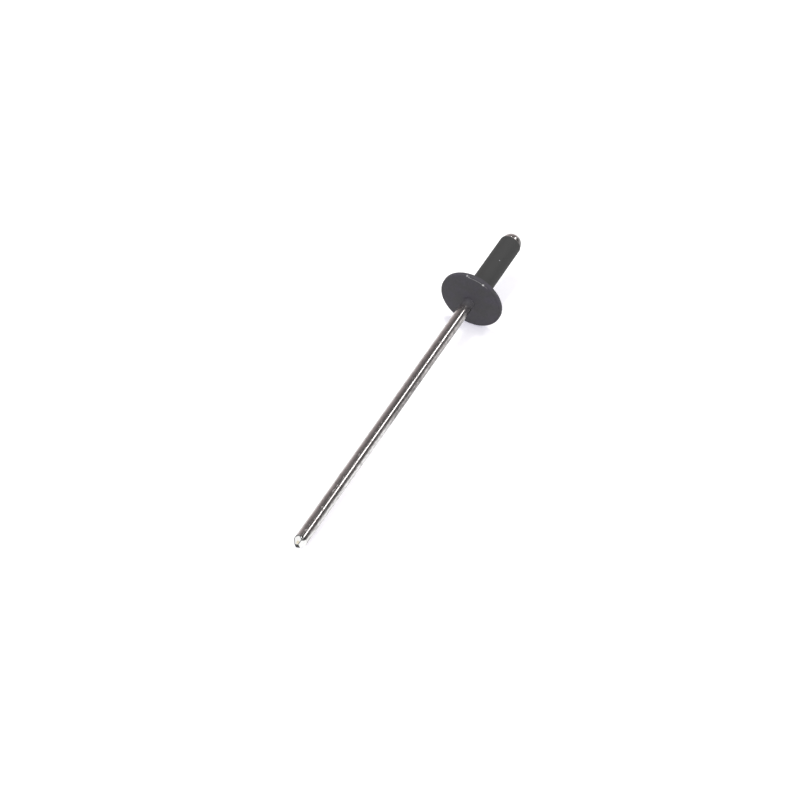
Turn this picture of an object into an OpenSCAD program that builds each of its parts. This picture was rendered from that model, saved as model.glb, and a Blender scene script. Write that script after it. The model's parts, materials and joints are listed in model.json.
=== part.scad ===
// Blind rivet with a large crowned flange, not yet set, lying on a flat surface.
// Two pieces: the tubular rivet body, and the mandrel that is pulled through it.
// Both are turned about one axis. Along it, zero is the flat underside of the flange,
// plus is towards the mandrel's head and minus is towards the stem's cut end.
// The pair rests on the flange's rim and on the cut end of the stem.

/* [Flange] */
// Diameter of the flange
flange_d = 14; // [11:0.5:18]
// Thickness of the flange at its rim
rim_t = 0.9; // [0.7:0.05:1.4]
// Rise of the crowned face from the rim to the middle
crown_h = 0.6; // [0.3:0.05:1]
// Rounding of the rim on its crowned side
rim_r = 0.35; // [0.15:0.05:0.45]
// Rounding of the rim on its flat side
back_r = 0.15; // [0.05:0.05:0.2]
// Fillet where the shank leaves the flange
root_r = 0.25; // [0.1:0.05:0.4]

/* [Shank] */
// Diameter of the shank
shank_d = 4.8; // [4.4:0.1:6]
// Length of the shank under the flange
shank_len = 18; // [12:0.5:26]
// Rounding of the shank's far end
end_r = 0.25; // [0.1:0.05:0.6]
// Chamfer where the stem leaves the crowned face
mouth_c = 0.1; // [0.05:0.05:0.4]

/* [Stem] */
// Diameter of the mandrel's stem
stem_d = 2.65; // [2.2:0.05:2.8]
// Length of stem that stands out of the crowned face
stem_len = 72; // [30:1:90]
// Free space round the stem in the bore
bore_gap = 0.08; // [0.04:0.01:0.12]
// Diameter left at the break neck
neck_d = 1.8; // [1.4:0.1:2]
// Radius of the groove that makes the break neck
neck_r = 0.6; // [0.45:0.05:0.8]
// Distance from the head's seat back to the break neck
neck_back = 2; // [1.2:0.1:4]

/* [Mandrel head] */
// Diameter of the upset head
head_d = 4.4; // [4.2:0.1:5]
// Height of the straight land above the head's seat
land_h = 0.3; // [0.2:0.05:0.6]
// Height of the dome above the land
dome_h = 2.1; // [1.2:0.1:2.1]
// Rounding at the lower edge of the land
land_r = 0.15; // [0.05:0.05:0.2]
// Fillet between the stem and the head's seat
seat_r = 0.15; // [0.05:0.05:0.2]

/* [Cut end] */
// Angle between opposite faces of the cut end
cut_angle = 55; // [50:5:90]
// Width across the blunt end that the cut leaves
blunt_w = 0.8; // [0.4:0.1:1]
// Turn of the four cut faces about the stem
cut_turn = 70; // [0:5:90]

/* [Hidden] */
$fn = 96;

// How far a cutter reaches past what it cuts
over = 1;

flange_r = flange_d / 2;
shank_r = shank_d / 2;
stem_r = stem_d / 2;
bore_r = stem_r + bore_gap;
head_r = head_d / 2;

// Radius of the arc that rises by rise over the half width half
function cap_radius(half, rise) = (half * half + rise * rise) / (2 * rise);

// The crowned face is part of a sphere, and the rim's rounding runs into it without a step
crown_top = -(rim_t + crown_h);
crown_r = cap_radius(flange_r, crown_h);
crown_mid = crown_top + crown_r;
rim_mid_r = flange_r - rim_r;
rim_mid = crown_mid - sqrt(pow(crown_r - rim_r, 2) - pow(rim_mid_r, 2));

// The head's seat lies on the shank's far end
seat = shank_len;
dome_base = seat + land_h;
dome_r = cap_radius(head_r, dome_h);
dome_mid = dome_base + dome_h - dome_r;

// The cut end has four flat faces, and the stem's own lowest line starts where they stop
stem_end = crown_top - stem_len;
cut_lean = cut_angle / 2;
turn_off_low = (cut_turn + 45) % 90 - 45;
low_start = stem_end + (stem_r * cos(turn_off_low) - blunt_w / 2) / tan(cut_lean);
blunt_top = blunt_w / sqrt(2) * cos(45 - abs(turn_off_low));

// At rest the rim's rounding and the end of the stem's lowest line touch the surface
rest_span = rim_mid - low_start;
rest_drop = rim_mid_r - stem_r;
rest_tilt = atan2(rest_drop, rest_span) + asin(rim_r / norm([rest_span, rest_drop]));
rest_height = stem_r * cos(rest_tilt) - low_start * sin(rest_tilt);

// The middle of the whole length is over the origin
far_x = dome_mid * cos(rest_tilt) + dome_r;
near_x = stem_end * cos(rest_tilt) - blunt_top * sin(rest_tilt);

// Lays its children, which stand along Z, down along X as they rest
module at_rest() {
    translate([-(far_x + near_x) / 2, 0, rest_height])
        rotate([0, 90 - rest_tilt, 0])
            children();
}

// What a rounding of radius r takes off the outer corner at [x, y]; up is the corner's side
module corner_cut(x, y, r, up) {
    difference() {
        translate([x - r, up ? y - r : y - over])
            square([r + over, r + over]);
        translate([x - r, up ? y - r : y + r])
            circle(r);
    }
}

// What a concave fillet of radius r fills beside the line x, on the side up of the line y
module corner_fill(x, y, r, up) {
    difference() {
        translate([x, up ? y : y - r])
            square(r);
        translate([x + r, up ? y + r : y - r])
            circle(r);
    }
}

// Half section of the flange: a flat back, a rounded rim and a crowned face
module flange_section() {
    lean = asin(rim_mid_r / (crown_r - rim_r));
    reach = crown_h + rim_t + over;
    difference() {
        intersection() {
            translate([0, crown_top])
                square([flange_r, -crown_top]);
            translate([0, crown_mid])
                circle(crown_r, $fn = 720);
        }
        corner_cut(flange_r, 0, back_r, true);
        // The corner between the rim and the crowned face, outside the rounding
        difference() {
            polygon([
                [rim_mid_r, rim_mid],
                [flange_r + over, rim_mid],
                [flange_r + over, rim_mid - reach],
                [rim_mid_r + reach * sin(lean), rim_mid - reach * cos(lean)]
            ]);
            translate([rim_mid_r, rim_mid])
                circle(rim_r);
        }
    }
}

// Half section of the shank, with its fillet under the flange and its rounded far end
module shank_section() {
    difference() {
        translate([0, -rim_t])
            square([shank_r, rim_t + shank_len]);
        corner_cut(shank_r, shank_len, end_r, true);
    }
    corner_fill(shank_r, 0, root_r, true);
}

// Half section of the bore: straight, with a chamfer in the crowned face and at the head's seat
module bore_section() {
    length = shank_len - crown_top + 2 * over;
    translate([0, crown_top - over])
        square([bore_r, length]);
    polygon([
        [0, crown_top - over],
        [bore_r + mouth_c + over, crown_top - over],
        [bore_r, crown_top + mouth_c],
        [0, crown_top + mouth_c]
    ]);
    polygon([
        [0, seat + over],
        [bore_r + seat_r + over, seat + over],
        [bore_r, seat - seat_r],
        [0, seat - seat_r]
    ]);
}

// The rivet body: flange and shank in one piece, bored right through for the mandrel
module rivet_body() {
    color([0.16, 0.16, 0.17])
        at_rest()
            rotate_extrude()
                difference() {
                    union() {
                        flange_section();
                        shank_section();
                    }
                    bore_section();
                }
}

// Half section of the head: a flat seat, a short straight land and a dome
module head_section() {
    difference() {
        // The land's straight side stops where it meets the dome's circle
        intersection() {
            translate([0, seat])
                square([head_r, land_h + dome_h + over]);
            union() {
                translate([0, dome_mid])
                    circle(dome_r);
                translate([0, dome_mid - dome_r])
                    square(dome_r);
            }
        }
        corner_cut(head_r, seat, land_r, false);
    }
    corner_fill(stem_r, seat, seat_r, false);
}

// Half section of the stem, necked down where it breaks when the rivet is set
module stem_section() {
    difference() {
        translate([0, stem_end])
            square([stem_r, seat - stem_end]);
        translate([neck_d / 2 + neck_r, seat - neck_back])
            circle(neck_r);
    }
}

// The four flat faces that the pinching cut leaves at the stem's end
module cut_faces() {
    side = 3 * stem_d;
    for (i = [0 : 3])
        rotate([0, 0, cut_turn + 90 * i])
            translate([blunt_w / 2, 0, stem_end])
                rotate([0, cut_lean, 0])
                    translate([0, -side / 2, -side / 2])
                        cube([side, side, 2 * side]);
}

// The mandrel: drawn wire with an upset head at one end and a pinched cut at the other
module mandrel() {
    color([0.72, 0.72, 0.73])
        at_rest()
            difference() {
                rotate_extrude()
                    union() {
                        stem_section();
                        head_section();
                    }
                cut_faces();
            }
}

rivet_body();
mandrel();
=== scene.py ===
import json
import math

import bmesh
import bpy
import numpy as np
from mathutils import Matrix, Vector


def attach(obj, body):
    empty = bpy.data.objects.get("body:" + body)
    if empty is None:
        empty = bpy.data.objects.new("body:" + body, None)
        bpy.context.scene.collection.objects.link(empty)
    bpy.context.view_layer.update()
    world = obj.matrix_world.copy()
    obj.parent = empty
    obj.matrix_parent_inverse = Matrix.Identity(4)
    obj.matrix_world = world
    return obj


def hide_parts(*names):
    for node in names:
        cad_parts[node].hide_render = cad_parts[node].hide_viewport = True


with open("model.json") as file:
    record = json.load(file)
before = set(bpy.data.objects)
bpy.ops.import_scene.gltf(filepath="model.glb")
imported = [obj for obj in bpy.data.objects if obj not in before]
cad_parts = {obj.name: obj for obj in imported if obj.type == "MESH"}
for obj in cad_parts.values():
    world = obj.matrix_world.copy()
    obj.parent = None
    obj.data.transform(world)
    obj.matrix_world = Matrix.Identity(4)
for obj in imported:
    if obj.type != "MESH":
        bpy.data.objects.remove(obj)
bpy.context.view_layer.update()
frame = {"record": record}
scene = bpy.context.scene
scene.view_settings.view_transform = "Standard"

# The rivet's own line. Both pieces are turned about one line that rises a little towards the head.
# On it zero is the flange's flat back and plus is towards the head. Across it the first axis points
# down and the second to the picture's left. Sizes and places on the rivet are in millimetres.
MM = 0.001
mounts = {mount["name"]: mount for mount in frame["record"]["mounts"]}
line = Vector(mounts["shank"]["axis"]).normalized()
shank_middle = Vector(mounts["shank"]["pos_m"])
flange_back = Vector(mounts["flange_back"]["pos_m"])
back_centre = shank_middle + line * (flange_back - shank_middle).dot(line)
level = Vector((0, 1, 0))
down = level.cross(line)
own_place = Matrix.Translation(back_centre) @ Matrix((down, level, line)).transposed().to_4x4()


# Mandrel. A length of bright drawn steel wire with a domed head upset on one end, a groove where
# it breaks when the rivet is set, and at the other end the four leaning faces of the pinching cut
# that parted it from the coil. The head sits on the shank's far end.
stem_r = mounts["stem"]["dims"]["r_mm"]
stem_from = -73.5
seat = 18.0
neck = {"back": 2.0, "out": 1.5, "r": 0.6}
head = {"r": 2.2, "land": 0.3, "dome": 2.1, "edge": 0.15, "fillet": 0.15}
# The cut: how far its four faces lean from the line, how far out each starts at the blunt tip, and
# how soft and how torn its edges are. Its skin is found along rays from a point up inside the wire.
cut = {"lean": 27.5, "outs": (0.4, 0.4, 0.5, 0.4), "turn": 70.0, "soft": 0.04, "torn": 0.02}
torn_waves = ((9, 4), (5, -8))
rays = {"start": 2.1, "past_start": 0.35, "longest": 3.0, "rings": 130, "halvings": 30}
# The dome's last ring of points, in degrees, lies just short of its top, which is one point
dome_last = 89
around_mandrel = 240


def arc(out, along, radius, start, end, steps):
    """Points of an arc in a half section, with its angles in degrees from outward."""
    angles = np.radians(np.linspace(start, end, steps + 1))
    return [(out + radius * math.cos(a), along + radius * math.sin(a)) for a in angles]


def with_stays(points, edge=0.03, longest=3.0):
    """The half section with points near the ends of each straight run, so that it shades flat."""
    full = [points[0]]
    for start, end in zip(points, points[1:]):
        start, end = np.array(start), np.array(end)
        length = np.linalg.norm(end - start)
        if length > 6 * edge:
            inner = max(1, math.ceil(length / longest))
            shares = [edge / length]
            shares += [i / inner for i in range(1, inner)]
            shares += [1 - edge / length]
            full += [tuple(start + (end - start) * share) for share in shares]
        full.append(tuple(end))
    return full


def turned(section, count):
    """Rings of points, in millimetres, that a half section leaves as it turns about the line."""
    angles = np.arange(count) * 2 * math.pi / count
    out, along = np.array(section).T
    rings = np.zeros((len(section), count, 3))
    rings[:, :, 0] = out[:, None] * np.cos(angles)
    rings[:, :, 1] = out[:, None] * np.sin(angles)
    rings[:, :, 2] = along[:, None]
    return rings


def skin(name, rings, ends=None):
    """A smooth mesh piece over rings of points, closed by two end points or round on itself."""
    count, turns = rings.shape[:2]
    points = [own_place @ Vector(p) for p in rings.reshape(-1, 3) * MM]
    faces = []
    for i in range(count - 1 if ends else count):
        here, there = i * turns, (i + 1) % count * turns
        for j in range(turns):
            k = (j + 1) % turns
            faces.append((here + j, here + k, there + k, there + j))
    if ends:
        for end, ring in zip(ends, (0, (count - 1) * turns)):
            points.append(own_place @ (Vector(end) * MM))
            for j in range(turns):
                faces.append((len(points) - 1, ring + j, ring + (j + 1) % turns))
    mesh = bpy.data.meshes.new(name)
    mesh.from_pydata(points, [], faces)
    shape = bmesh.new()
    shape.from_mesh(mesh)
    bmesh.ops.recalc_face_normals(shape, faces=shape.faces)
    shape.to_mesh(mesh)
    shape.free()
    mesh.shade_smooth()
    piece = bpy.data.objects.new(name, mesh)
    scene.collection.objects.link(piece)
    return piece


def cut_end():
    """Rings from the blunt tip up past the cut faces, found along rays from inside the wire."""
    last = math.degrees(math.atan2(stem_r, -rays["past_start"]))
    tilts = np.radians(np.linspace(0, last, rays["rings"] + 1)[1:])[:, None]
    angles = (np.arange(around_mandrel) * 2 * math.pi / around_mandrel)[None, :]
    way = np.stack([np.sin(tilts) * np.cos(angles), np.sin(tilts) * np.sin(angles),
                    -np.cos(tilts) * np.ones_like(angles)], axis=-1)
    lean = math.radians(cut["lean"])
    (sine_x, sine_y), (cosine_x, cosine_y) = torn_waves

    def depth(reach):
        """How far a point is outside the wire, with every edge a little rounded."""
        x, y, z = np.moveaxis(way * reach[..., None], -1, 0)
        high = z + rays["start"]
        waves = np.sin(sine_x * x + sine_y * y) * np.cos(cosine_x * x + cosine_y * y)
        torn = cut["torn"] * (1 + waves)
        sides = [np.hypot(x, y) - stem_r, torn - high]
        for i, start in enumerate(cut["outs"]):
            turn = math.radians(cut["turn"] + 90 * i)
            out = x * math.cos(turn) + y * math.sin(turn)
            sides.append((out - start) * math.cos(lean) - high * math.sin(lean))
        return cut["soft"] * np.log(sum(np.exp(side / cut["soft"]) for side in sides))

    near = np.zeros(way.shape[:2])
    far = np.full(way.shape[:2], rays["longest"])
    for _ in range(rays["halvings"]):
        middle = (near + far) / 2
        outside = depth(middle) > 0
        far = np.where(outside, middle, far)
        near = np.where(outside, near, middle)
    rings = way * near[..., None]
    rings[..., 2] += stem_from + rays["start"]
    return rings


dome_r = (head["r"] ** 2 + head["dome"] ** 2) / (2 * head["dome"])
dome_mid = seat + head["land"] + head["dome"] - dome_r
dome_start = math.degrees(math.acos(head["r"] / dome_r))
neck_half = math.degrees(math.acos((neck["out"] - stem_r) / neck["r"]))
cut_rings = cut_end()
stem_start = float(cut_rings[-1, 0, 2])
upper_section = with_stays(
    [(stem_r, stem_start)]
    + arc(neck["out"], seat - neck["back"], neck["r"], 180 + neck_half, 180 - neck_half, 16)
    + arc(stem_r + head["fillet"], seat - head["fillet"], head["fillet"], 180, 90, 6)
    + arc(head["r"] - head["edge"], seat + head["edge"], head["edge"], -90, 0, 6)
    + arc(0, dome_mid, dome_r, dome_start, dome_last, 60)
)
upper_rings = turned(upper_section[1:], around_mandrel)
dome_top = (0, 0, dome_mid + dome_r)
tip = (0, 0, float(cut_rings[0, :, 2].mean()))
mandrel = skin("mandrel_wire", np.concatenate([cut_rings, upper_rings]), ends=(tip, dome_top))


def node(tree, kind, into=None, **settings):
    """Adds a node, sets its settings, and links or sets the named or numbered inputs."""
    made = tree.nodes.new(kind)
    for name, value in settings.items():
        setattr(made, name, value)
    for name, value in (into or {}).items():
        if isinstance(value, bpy.types.NodeSocket):
            tree.links.new(value, made.inputs[name])
        else:
            made.inputs[name].default_value = value
    return made


def sums(tree, operation, *values):
    """The result of a Math node."""
    return node(tree, "ShaderNodeMath", dict(enumerate(values)), operation=operation).outputs[0]


def all_of(tree, *masks):
    """The product of masks and shares."""
    product = masks[0]
    for mask in masks[1:]:
        product = sums(tree, "MULTIPLY", product, mask)
    return product


def rest_of(tree, mask):
    """Where a mask isn't."""
    return sums(tree, "SUBTRACT", 1.0, mask)


def noise(tree, spot, scale, detail):
    """An even noise from zero to one."""
    return node(tree, "ShaderNodeTexNoise", {"Vector": spot, "Scale": scale, "Detail": detail}).outputs[0]


def shade(tree, share, first, second):
    """A mix of two colours."""
    into = {"Factor": share, 6: first, 7: second}
    return node(tree, "ShaderNodeMix", into, data_type="RGBA").outputs[2]


def step_up(tree, value, start, end):
    """Zero below start, one above end, and smooth between them."""
    into = {"Value": value, "From Min": start, "From Max": end}
    return node(tree, "ShaderNodeMapRange", into, interpolation_type="SMOOTHSTEP").outputs[0]


def effect(name, inputs, outputs):
    """A new shader node group with float or vector sockets, and its input and output nodes."""
    tree = bpy.data.node_groups.new(name, "ShaderNodeTree")
    kinds = {"Spot": "NodeSocketVector"}
    for label in inputs:
        tree.interface.new_socket(label, in_out="INPUT", socket_type=kinds.get(label, "NodeSocketFloat"))
    for label in outputs:
        tree.interface.new_socket(label, in_out="OUTPUT", socket_type=kinds.get(label, "NodeSocketFloat"))
    return tree, tree.nodes.new("NodeGroupInput"), tree.nodes.new("NodeGroupOutput")


def rivet_places():
    """Where a spot is on the rivet, in millimetres: as a vector, along the line and out from it."""
    tree, _, end = effect("rivet_places", [], ["Spot", "Along", "Out"])
    into = {"Vector": node(tree, "ShaderNodeTexCoord").outputs["Object"], "Location": back_centre,
            "Rotation": own_place.to_euler(), "Scale": (MM, MM, MM)}
    spot = node(tree, "ShaderNodeMapping", into, vector_type="TEXTURE").outputs[0]
    split = node(tree, "ShaderNodeSeparateXYZ", {0: spot}).outputs
    squares = sums(tree, "ADD", sums(tree, "POWER", split[0], 2.0), sums(tree, "POWER", split[1], 2.0))
    tree.links.new(spot, end.inputs["Spot"])
    tree.links.new(split[2], end.inputs["Along"])
    tree.links.new(sums(tree, "SQRT", squares), end.inputs["Out"])
    return tree


def drawn_out(tree, spot, run):
    """A spot with its distance along the line divided by run, so that marks come out long."""
    split = node(tree, "ShaderNodeSeparateXYZ", {0: spot}).outputs
    along = sums(tree, "DIVIDE", split[2], run)
    return node(tree, "ShaderNodeCombineXYZ", {0: split[0], 1: split[1], 2: along}).outputs[0]


def streaks():
    """Streaks along the wire, such as a die leaves: how fine they are and how far they run."""
    tree, start, end = effect("streaks", ["Spot", "Fineness", "Run"], ["Height"])
    across = drawn_out(tree, start.outputs["Spot"], start.outputs["Run"])
    into = {"Vector": across, "Scale": start.outputs["Fineness"], "Detail": 4.0, "Roughness": 0.65}
    height = node(tree, "ShaderNodeTexNoise", into).outputs[0]
    tree.links.new(height, end.inputs["Height"])
    return tree


def specks():
    """Scattered specks: their size in millimetres, how much longer than wide, and how many."""
    tree, start, end = effect("specks", ["Spot", "Size", "Run", "Share"], ["Mask"])
    fineness = sums(tree, "DIVIDE", 1.0, start.outputs["Size"])
    across = drawn_out(tree, start.outputs["Spot"], start.outputs["Run"])
    cells = node(tree, "ShaderNodeTexVoronoi", {"Vector": across, "Scale": fineness})
    chance = node(tree, "ShaderNodeSeparateColor", {0: cells.outputs["Color"]}).outputs[0]
    chosen = sums(tree, "LESS_THAN", chance, start.outputs["Share"])
    body = step_up(tree, rest_of(tree, cells.outputs["Distance"]), 0.45, 0.75)
    tree.links.new(all_of(tree, chosen, body), end.inputs["Mask"])
    return tree


def one_mark():
    """One mark at a place: full within half its reach, and ragged out to its whole reach."""
    tree, start, end = effect("one_mark", ["Spot", "X", "Y", "Z", "Reach"], ["Mask"])
    into = {0: start.outputs["X"], 1: start.outputs["Y"], 2: start.outputs["Z"]}
    place = node(tree, "ShaderNodeCombineXYZ", into).outputs[0]
    into = {0: start.outputs["Spot"], 1: place}
    away = node(tree, "ShaderNodeVectorMath", into, operation="DISTANCE").outputs["Value"]
    ragged = noise(tree, start.outputs["Spot"], 7.0, 2.0)
    share = sums(tree, "DIVIDE", away, start.outputs["Reach"])
    share = sums(tree, "ADD", share, sums(tree, "SUBTRACT", ragged, 0.5))
    tree.links.new(rest_of(tree, step_up(tree, share, 0.5, 1.0)), end.inputs["Mask"])
    return tree


def placed(tree, group, into=None):
    """An effect placed in a material with its own values."""
    return node(tree, "ShaderNodeGroup", into, node_tree=group).outputs


def mark_at(tree, at, place, reach):
    """The mask of one mark at a place given in the rivet's own millimetres."""
    x, y, z = place
    return placed(tree, mark, {"Spot": at["Spot"], "X": x, "Y": y, "Z": z, "Reach": reach})["Mask"]


def finish_of(name):
    """A new material with its node tree and its one Principled shader."""
    material = bpy.data.materials.new(name)
    material.use_nodes = True
    return material, material.node_tree, material.node_tree.nodes["Principled BSDF"]


places = rivet_places()
streak = streaks()
speck = specks()
mark = one_mark()

# Where the photograph shows the wire's marks. Each pair is where a change starts and where it is
# full: along the line, out from it, to the picture's right of it, below it, from the smear's
# middle, towards the tip, under the skin, or across the cut as it is turned.
# Some of these places carry painted light and shade rather than marks: the mouth's lighter colour, and the
# patches and edge line on the right side
wire_marks = {"before_mouth": (-4.5, -2.5), "past_mouth": (3.0, 5.0), "in_flange": (-4.0, -2.5),
              "right": (0.72, 1.0), "outer_right": (1.08, 1.26), "right_edge": (1.19, 1.31),
              "low": (0.1, 0.7), "upper_run": (-42.0, -36.0), "off_smear": (5.0, 9.0),
              "head": (17.9, 18.0), "head_out": (1.7, 2.1), "head_right": (1.1, 1.6)}
smear_middle = -31.0
# The dark at the torn tip and along the cut's edges is partly painted shade
cut_marks = {"cut": (71.0, 71.05), "inside": (0.012, 0.03), "torn": (73.36, 73.43), "burr_and_edge_shade": (71.66, 71.72),
             "off_edge": (0.05, 0.14), "off_wide_edge": (0.16, 0.30), "wide_side": (0.05, 0.15),
             "off_skin": (0.06, 0.15), "dark_edge_side": (0.3, 0.5)}
stain_place = (-0.69, 0.0, -73.02)
stain_reach = 0.42
# Some of these colours are painted light: the one by the flange's mouth, the lit, shaded and lighter patches
# on the right side, and in part the dark of the torn tip and of the cut's edges
steel = {"bright": (0.66, 0.62, 0.61, 1), "filmed": (0.56, 0.52, 0.51, 1), "streaked": (0.42, 0.40, 0.39, 1),
         "dulled": (0.14, 0.13, 0.13, 1), "painted_light_by_flange": (0.72, 0.71, 0.73, 1), "lit": (0.85, 0.84, 0.85, 1),
         "reflected_shade": (0.14, 0.135, 0.135, 1), "reflected_light": (0.90, 0.90, 0.90, 1), "burr_and_edge_shade": (0.14, 0.14, 0.14, 1),
         "fresh": (0.96, 0.96, 0.95, 1), "stained": (0.82, 0.75, 0.58, 1), "torn": (0.08, 0.08, 0.08, 1),
         "head_side": (0.12, 0.12, 0.12, 1)}


def painted_right_side(tree, at, across, base):
    """Painted reflections on the wire's upper right side: lighter and darker mottled patches and a dark edge
    line, for the floor and its shade seen in the steel. The head is darker on its right side.
    """
    mottle = step_up(tree, noise(tree, drawn_out(tree, at["Spot"], 4.5), 4.4, 3.0), 0.38, 0.62)
    rightward = sums(tree, "MULTIPLY", across[1], -1.0)
    free_run = rest_of(tree, step_up(tree, at["Along"], *wire_marks["in_flange"]))
    upward = rest_of(tree, step_up(tree, across[0], *wire_marks["low"]))
    right_side = all_of(tree, step_up(tree, rightward, *wire_marks["right"]), free_run, upward)
    outer = step_up(tree, rightward, *wire_marks["outer_right"])
    inner = all_of(tree, right_side, rest_of(tree, outer))
    edge = all_of(tree, step_up(tree, rightward, *wire_marks["right_edge"]), free_run)
    upper_run = step_up(tree, at["Along"], *wire_marks["upper_run"])
    lower_run = rest_of(tree, upper_run)
    off_middle = sums(tree, "ABSOLUTE", sums(tree, "SUBTRACT", at["Along"], smear_middle))
    smear = rest_of(tree, step_up(tree, off_middle, *wire_marks["off_smear"]))

    # Painted reflection: lighter patches on the right side, where the steel shows the floor
    lit = all_of(tree, rest_of(tree, mottle), right_side, 0.25)
    base = shade(tree, lit, base, steel["lit"])
    # Painted shade in the reflection: a dark line at the right edge, a darker band and smear, and the dark
    # part of the mottle
    reflected_shade = all_of(tree, edge, upper_run, 0.3)
    reflected_shade_parts = ((inner, lower_run, 0.14), (smear, right_side, 0.24), (mottle, right_side, 0.52))
    for first, second, share in reflected_shade_parts:
        reflected_shade = sums(tree, "MULTIPLY_ADD", all_of(tree, first, second), share, reflected_shade)
    base = shade(tree, reflected_shade, base, steel["reflected_shade"])
    # Painted reflection: the outer right side of the lower run made near white
    reflected_light = all_of(tree, lower_run, outer, 0.8, rest_of(tree, all_of(tree, mottle, 0.6)))
    base = shade(tree, reflected_light, base, steel["reflected_light"])

    # The head is made darker on its right side
    head_side = all_of(tree, step_up(tree, at["Out"], *wire_marks["head_out"]),
                       step_up(tree, rightward, *wire_marks["head_right"]),
                       step_up(tree, at["Along"], *wire_marks["head"]), 0.8)
    return shade(tree, head_side, base, steel["head_side"])


def cut_metal(tree, at, base):
    """Fresh bare metal on the cut faces, with one stain, dark edges that are partly burr and partly painted
    shade, and a torn tip, dark as torn metal and as painted shade where it meets the floor.
    """
    tipward = sums(tree, "MULTIPLY", at["Along"], -1.0)
    under = sums(tree, "SUBTRACT", stem_r, at["Out"])
    fresh = all_of(tree, step_up(tree, tipward, *cut_marks["cut"]),
                   step_up(tree, under, *cut_marks["inside"]))
    # The torn tip is dark partly as torn metal and partly as painted shade where it meets the floor
    torn = step_up(tree, tipward, *cut_marks["torn"])
    stain = mark_at(tree, at, stain_place, stain_reach)
    bare = shade(tree, stain, steel["fresh"], steel["stained"])
    bare = shade(tree, torn, bare, steel["torn"])
    base = shade(tree, fresh, base, bare)

    into = {"Vector": at["Spot"], "Axis": (0, 0, 1), "Angle": math.radians(-cut["turn"])}
    turned_spot = node(tree, "ShaderNodeVectorRotate", into).outputs[0]
    faced = node(tree, "ShaderNodeSeparateXYZ", {0: turned_spot}).outputs
    either_way = sums(tree, "ABSOLUTE", faced[0]), sums(tree, "ABSOLUTE", faced[1])
    off_edge = sums(tree, "ABSOLUTE", sums(tree, "SUBTRACT", *either_way))
    thin_edge = rest_of(tree, step_up(tree, off_edge, *cut_marks["off_edge"]))
    wide_edge = all_of(tree, rest_of(tree, step_up(tree, off_edge, *cut_marks["off_wide_edge"])),
                       step_up(tree, faced[0], *cut_marks["wide_side"]))
    at_edge = sums(tree, "MAXIMUM", thin_edge, wide_edge)
    at_skin = rest_of(tree, step_up(tree, under, *cut_marks["off_skin"]))
    # Dark edges: partly burr, partly a painted dark reflection along the rounded edges of the cut
    burr_and_edge_shade = all_of(tree, sums(tree, "MAXIMUM", at_edge, at_skin),
                  step_up(tree, faced[1], *cut_marks["dark_edge_side"]),
                  step_up(tree, tipward, *cut_marks["burr_and_edge_shade"]))
    return shade(tree, burr_and_edge_shade, base, steel["burr_and_edge_shade"]), fresh, torn


def drawn_steel():
    """Bright drawn wire with streaks, dull dashes and a film of oil, painted lighter by the flange's mouth
    and with painted reflections and shade on its right side; bare metal at the cut.
    """
    material, tree, shader = finish_of("drawn_steel")
    at = placed(tree, places)
    across = node(tree, "ShaderNodeSeparateXYZ", {0: at["Spot"]}).outputs
    fine = placed(tree, streak, {"Spot": at["Spot"], "Fineness": 9.0, "Run": 60.0})["Height"]
    broad = placed(tree, streak, {"Spot": at["Spot"], "Fineness": 2.2, "Run": 14.0})["Height"]
    dashes = placed(tree, speck, {"Spot": at["Spot"], "Size": 0.26, "Run": 3.0, "Share": 0.45})["Mask"]
    grains = placed(tree, speck, {"Spot": at["Spot"], "Size": 0.13, "Run": 1.5, "Share": 0.4})["Mask"]
    film = noise(tree, at["Spot"], 0.5, 3.0)
    at_mouth = all_of(tree, step_up(tree, at["Along"], *wire_marks["before_mouth"]),
                      rest_of(tree, step_up(tree, at["Along"], *wire_marks["past_mouth"])))
    dulled = all_of(tree, dashes, step_up(tree, film, 0.34, 0.54), rest_of(tree, at_mouth))

    base = shade(tree, step_up(tree, film, 0.35, 0.7), steel["bright"], steel["filmed"])
    base = shade(tree, all_of(tree, fine, 0.25), base, steel["streaked"])
    base = shade(tree, all_of(tree, dulled, 0.7), base, steel["dulled"])
    # Painted light: the wire by the flange's mouth is painted lighter and neutral, against the flange's dark
    # reflection in it
    base = shade(tree, at_mouth, base, steel["painted_light_by_flange"])
    base = painted_right_side(tree, at, across, base)
    base, fresh, torn = cut_metal(tree, at, base)

    rough = sums(tree, "MULTIPLY_ADD", broad, 0.08, 0.11)
    for mask, share in ((dulled, 0.2), (fresh, 0.12), (all_of(tree, fresh, torn), 0.25)):
        rough = sums(tree, "MULTIPLY_ADD", mask, share, rough)
    height = sums(tree, "MULTIPLY_ADD", fine, 0.25, all_of(tree, broad, 0.4))
    height = sums(tree, "MULTIPLY_ADD", dulled, -0.5, height)
    height = sums(tree, "MULTIPLY_ADD", grains, -0.12, height)
    bump = node(tree, "ShaderNodeBump", {"Height": height, "Distance": 0.004 * MM, "Strength": 1.0})
    shader.inputs["Metallic"].default_value = 0.97
    tree.links.new(base, shader.inputs["Base Color"])
    tree.links.new(rough, shader.inputs["Roughness"])
    tree.links.new(bump.outputs[0], shader.inputs["Normal"])
    return material


mandrel.data.materials.append(drawn_steel())
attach(mandrel, "root")
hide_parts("mandrel")


# Rivet body. Flange and shank are one piece, upset and drilled right through for the mandrel, with
# a crowned face and a rounded rim. It is aluminium under a satin black coating. A line along the
# upper rim and a few spots there are bare metal, which stands in for wear and for a painted
# highlight, and the flange's coat is painted lighter than the shank's to even out the light.
flange = {"r": 7.0, "rim": 0.9, "crown": 0.6, "front": 0.35, "back": 0.15, "root": 0.25}
shank = {"r": mounts["shank"]["dims"]["r_mm"], "end": 0.25}
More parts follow.
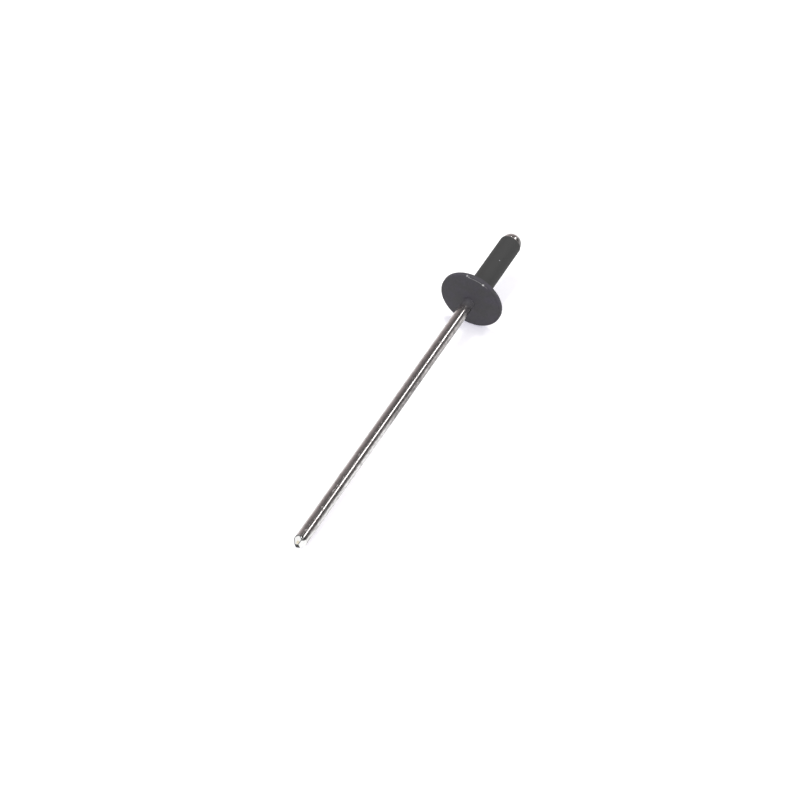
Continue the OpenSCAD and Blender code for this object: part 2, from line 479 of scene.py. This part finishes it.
# The lip is a thin ring that all but closes the bore's mouth, because no gap shows there
bore = {"r": 1.405, "lip": 1.328, "lip_run": 0.3, "soft": 0.006, "seat": 0.15}
around_body = 288
# The first steps out from the mouth, in degrees of the crowned face. The narrow one keeps the
# mouth's edge from showing on the face round it.
mouth_steps = (0.02, 0.2)


def body_section():
    """The closed half section, from the bore's mouth out over the flange and back by the bore."""
    crown_r = (flange["r"] ** 2 + flange["crown"] ** 2) / (2 * flange["crown"])
    crown_mid = crown_r - flange["rim"] - flange["crown"]
    rim_out = flange["r"] - flange["front"]
    rim_mid = crown_mid - math.sqrt((crown_r - flange["front"]) ** 2 - rim_out ** 2)
    lean = math.degrees(math.asin(rim_out / (crown_r - flange["front"])))
    mouth_out = bore["lip"] + bore["soft"]
    mouth_lean = math.degrees(math.asin(mouth_out / crown_r))
    crown_top = crown_mid - crown_r
    narrow, wide = mouth_steps
    points = arc(0, crown_mid, crown_r, mouth_lean - 90, mouth_lean - 90 + narrow, 1)
    points += arc(0, crown_mid, crown_r, mouth_lean - 90 + wide, lean - 90, 40)
    points += arc(rim_out, rim_mid, flange["front"], lean - 90, 0, 14)
    points += arc(flange["r"] - flange["back"], -flange["back"], flange["back"], 0, 90, 8)
    points += arc(shank["r"] + flange["root"], flange["root"], flange["root"], 270, 180, 8)
    points += arc(shank["r"] - shank["end"], seat - shank["end"], shank["end"], 0, 90, 12)
    points += [(bore["r"] + bore["seat"], seat), (bore["r"], seat - bore["seat"])]
    points += [(bore["r"], crown_top + bore["lip_run"] + bore["r"] - bore["lip"])]
    mouth = points[0]
    points += [(bore["lip"], crown_top + bore["lip_run"]), (bore["lip"], mouth[1] + bore["soft"]), mouth]
    return with_stays(points)[:-1]


body = skin("rivet_shell", turned(body_section(), around_body))


# Where the photograph shows the coating's marks, as for the wire: the line and the spots of bare metal
# on the rim, partly wear and partly a painted highlight, each spot with its place, its reach and how
# bare it is, and the shank's fleck
coat_marks = {"shank": (-0.3, 0.3), "line": 6.63, "off_line": (0.02, 0.09), "crowned": (0.8, 0.85),
              "upper": (1.0, 3.0), "from_right": (-4.2, -3.4), "to_left": (-0.1, 0.3)}
bare_and_highlight_spots = (((-5.90, -3.03, -0.95), 0.30, 1.0), ((-6.90, 0.72, -0.80), 0.28, 0.5),
              ((-6.76, 0.25, -0.92), 0.24, 0.35))
fleck_place = (-2.14, -1.085, 10.54)
fleck_reach = 0.16
# The flange's grey and violet are painted lighter than the shank's black, to even out the light that falls
# more on the shank from above
coat = {"grey": (0.0580, 0.0560, 0.0610, 1), "violet": (0.0635, 0.0580, 0.0765, 1),
        "smudged": (0.034, 0.034, 0.036, 1), "shank": (0.040, 0.040, 0.040, 1),
        "bare": (0.75, 0.75, 0.76, 1), "fleck": (0.30, 0.30, 0.32, 1)}


def rim_wear_and_highlight(tree, at):
    """Bare metal in a line along the upper rim and at a few spots there: partly wear, partly a painted
    highlight.
    """
    across = node(tree, "ShaderNodeSeparateXYZ", {0: at["Spot"]}).outputs
    patchy = step_up(tree, noise(tree, at["Spot"], 1.1, 4.0), 0.34, 0.6)
    off_line = sums(tree, "ABSOLUTE", sums(tree, "SUBTRACT", at["Out"], coat_marks["line"]))
    on_line = rest_of(tree, step_up(tree, off_line, *coat_marks["off_line"]))
    crowned = step_up(tree, sums(tree, "MULTIPLY", at["Along"], -1.0), *coat_marks["crowned"])
    upper = all_of(tree, step_up(tree, sums(tree, "MULTIPLY", across[0], -1.0), *coat_marks["upper"]),
                   step_up(tree, across[1], *coat_marks["from_right"]),
                   rest_of(tree, step_up(tree, across[1], *coat_marks["to_left"])))
    wear_and_highlight = all_of(tree, on_line, crowned, upper, sums(tree, "MULTIPLY_ADD", patchy, 0.2, 0.2))
    for place, reach, share in bare_and_highlight_spots:
        spot_wear_and_highlight = all_of(tree, mark_at(tree, at, place, reach), share)
        wear_and_highlight = sums(tree, "MAXIMUM", wear_and_highlight, spot_wear_and_highlight)
    return wear_and_highlight


def black_coating():
    """Satin black coating: a fine grain, faint clouds, bare metal on the upper rim for wear and a painted
    highlight, one pale fleck, and the flange painted lighter than the shank.
    """
    material, tree, shader = finish_of("black_coating")
    at = placed(tree, places)
    grain = noise(tree, at["Spot"], 14.0, 3.0)
    cloud = step_up(tree, noise(tree, at["Spot"], 0.45, 4.0), 0.3, 0.7)
    smudge = step_up(tree, noise(tree, at["Spot"], 1.9, 3.0), 0.42, 0.60)
    on_flange = shade(tree, cloud, coat["grey"], coat["violet"])
    on_flange = shade(tree, all_of(tree, smudge, 0.22), on_flange, coat["smudged"])
    # Painted light: the flange's coat is lighter than the shank's, to even out the light
    base = shade(tree, step_up(tree, at["Along"], *coat_marks["shank"]), on_flange, coat["shank"])
    # Painted highlight and wear: bare, shiny metal along the upper rim and at its spots
    wear_and_highlight = rim_wear_and_highlight(tree, at)
    base = shade(tree, wear_and_highlight, base, coat["bare"])
    base = shade(tree, mark_at(tree, at, fleck_place, fleck_reach), base, coat["fleck"])

    rough = sums(tree, "MULTIPLY_ADD", grain, 0.12, 0.62)
    rough = sums(tree, "MULTIPLY_ADD", wear_and_highlight, -0.3, rough)
    bump = node(tree, "ShaderNodeBump", {"Height": grain, "Distance": 0.004 * MM, "Strength": 1.0})
    shader.inputs["Specular IOR Level"].default_value = 0.4
    tree.links.new(base, shader.inputs["Base Color"])
    tree.links.new(wear_and_highlight, shader.inputs["Metallic"])
    tree.links.new(rough, shader.inputs["Roughness"])
    tree.links.new(bump.outputs[0], shader.inputs["Normal"])
    return material


body.data.materials.append(black_coating())
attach(body, "root")
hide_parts("rivet_body")


# Floor. A plain white sheet under the rivet. What looks at it, straight or in the steel, sees it
# near white, and it still takes the rivet's soft shadow.
floor_half = 6.0
# Its plain white, and then its matt white and its glow as they look in the steel and to the camera
sheet = {"plain": (0.8, 0.8, 0.8, 1),
         "in_steel": ((0.25, 0.25, 0.25, 1), (0.78, 0.78, 0.78, 1)),
         "to_camera": ((0.92, 0.92, 0.84, 1), (0.32, 0.31, 0.41, 1))}
corners = [(-floor_half, -floor_half, 0), (floor_half, -floor_half, 0),
           (floor_half, floor_half, 0), (-floor_half, floor_half, 0)]
floor_mesh = bpy.data.meshes.new("floor")
floor_mesh.from_pydata(corners, [], [(0, 1, 2, 3)])
floor = bpy.data.objects.new("floor", floor_mesh)
scene.collection.objects.link(floor)


def white_sheet():
    """Matt white, lifted to white for whatever looks at it, with the shade under the rivet kept."""
    material, tree, shader = finish_of("white_sheet")
    shader.inputs["Base Color"].default_value = sheet["plain"]
    shader.inputs["Roughness"].default_value = 0.9
    shader.inputs["Specular IOR Level"].default_value = 0.0

    def lifted(matt_white, white_glow):
        """A matt white that also glows."""
        matt = node(tree, "ShaderNodeBsdfDiffuse", {"Color": matt_white}).outputs[0]
        glow = node(tree, "ShaderNodeEmission", {"Color": white_glow, "Strength": 1.0}).outputs[0]
        return node(tree, "ShaderNodeAddShader", {0: matt, 1: glow}).outputs[0]

    look = node(tree, "ShaderNodeLightPath").outputs
    in_steel = sums(tree, "MAXIMUM", look["Is Glossy Ray"], look["Is Transmission Ray"])
    into = {0: in_steel, 1: shader.outputs[0], 2: lifted(*sheet["in_steel"])}
    mixed = node(tree, "ShaderNodeMixShader", into).outputs[0]
    into = {0: look["Is Camera Ray"], 1: mixed, 2: lifted(*sheet["to_camera"])}
    mixed = node(tree, "ShaderNodeMixShader", into).outputs[0]
    tree.links.new(mixed, tree.nodes["Material Output"].inputs["Surface"])
    return material


floor_mesh.materials.append(white_sheet())


# Light. A long soft strip hangs over the right side, in line with the rivet, and a small soft light
# is almost overhead. The room is pale behind the camera and dim beyond the rivet, as the bands on
# the steel show it. The camera itself sees plain white.
def soft_light(name, towards, distance, size, watts):
    """A flat rectangular light that faces the rivet; its long side follows the rivet's line."""
    lamp = bpy.data.lights.new(name, "AREA")
    lamp.shape = "RECTANGLE"
    lamp.size, lamp.size_y = size
    lamp.energy = watts
    light = bpy.data.objects.new(name, lamp)
    away = Vector(towards).normalized()
    side = (line - away * line.dot(away)).normalized()
    turn = Matrix((side, away.cross(side), away)).transposed()
    light.matrix_world = Matrix.Translation(away * distance) @ turn.to_4x4()
    scene.collection.objects.link(light)


soft_light("strip_light", towards=(0.42, -0.445, 0.79), distance=1.0, size=(1.1, 0.17), watts=2.9)
soft_light("top_light", towards=(0.17, 0.15, 0.97), distance=1.2, size=(0.20, 0.20), watts=4.4)

world = bpy.data.worlds.new("room")
scene.world = world
world.use_nodes = True
sky = world.node_tree
way = node(sky, "ShaderNodeSeparateXYZ", {0: node(sky, "ShaderNodeTexCoord").outputs["Generated"]}).outputs


def wall(stops, tint):
    """The colour of one side of the room by height, from pairs of height and strength.

    The first two pairs are the ends.
    """
    ramp = node(sky, "ShaderNodeValToRGB", {0: way[2]})
    for i, (height, value) in enumerate(stops):
        stop = ramp.color_ramp.elements[i] if i < 2 else ramp.color_ramp.elements.new(height)
        stop.position = height
        stop.color = (value * tint[0], value * tint[1], value * tint[2], 1)
    return ramp.outputs[0]


right_wall = wall([(0.0, 0.66), (0.98, 0.12), (0.13, 0.50), (0.26, 0.32), (0.40, 0.13), (0.68, 0.07)],
                  (1, 0.98, 0.99))
left_wall = wall([(0.0, 0.75), (0.98, 0.12), (0.12, 0.60), (0.30, 0.49), (0.58, 0.32), (0.77, 0.17),
                  (0.86, 0.04)], (1.0, 0.91, 0.92))
pale_wall = (0.95, 0.95, 0.95, 1)
far_walls = shade(sky, step_up(sky, way[1], -0.25, 0.25), right_wall, left_wall)
beyond = step_up(sky, way[0], 0.15, 0.42)
room = shade(sky, beyond, pale_wall, far_walls)
seen = node(sky, "ShaderNodeLightPath").outputs["Is Camera Ray"]
room = shade(sky, seen, room, (1, 1, 1, 1))
sky.links.new(room, sky.nodes["Background"].inputs["Color"])


# Camera. It looks down on the rivet from beyond the cut end, at the photograph's angle, and the
# middle of the picture lies beside the stem, below and to the left of the flange.
view_turn = math.radians(-61.735)
view_rise = math.radians(44.01)
view_distance = 0.4437
aim_leftward = 15.158
aim_downward = 21.349
back = Vector((math.sin(view_turn) * math.cos(view_rise),
               -math.cos(view_turn) * math.cos(view_rise), math.sin(view_rise)))
right = Vector((math.cos(view_turn), math.sin(view_turn), 0))
up = back.cross(right)
aim = back_centre - right * aim_leftward * MM - up * aim_downward * MM
lens = bpy.data.cameras.new("camera")
lens.sensor_width = 36.0
lens.lens = 95.44
lens.clip_start = 0.01
camera = bpy.data.objects.new("camera", lens)
facing = Matrix((right, up, back)).transposed().to_4x4()
camera.matrix_world = Matrix.Translation(aim + back * view_distance) @ facing
scene.collection.objects.link(camera)
scene.camera = camera
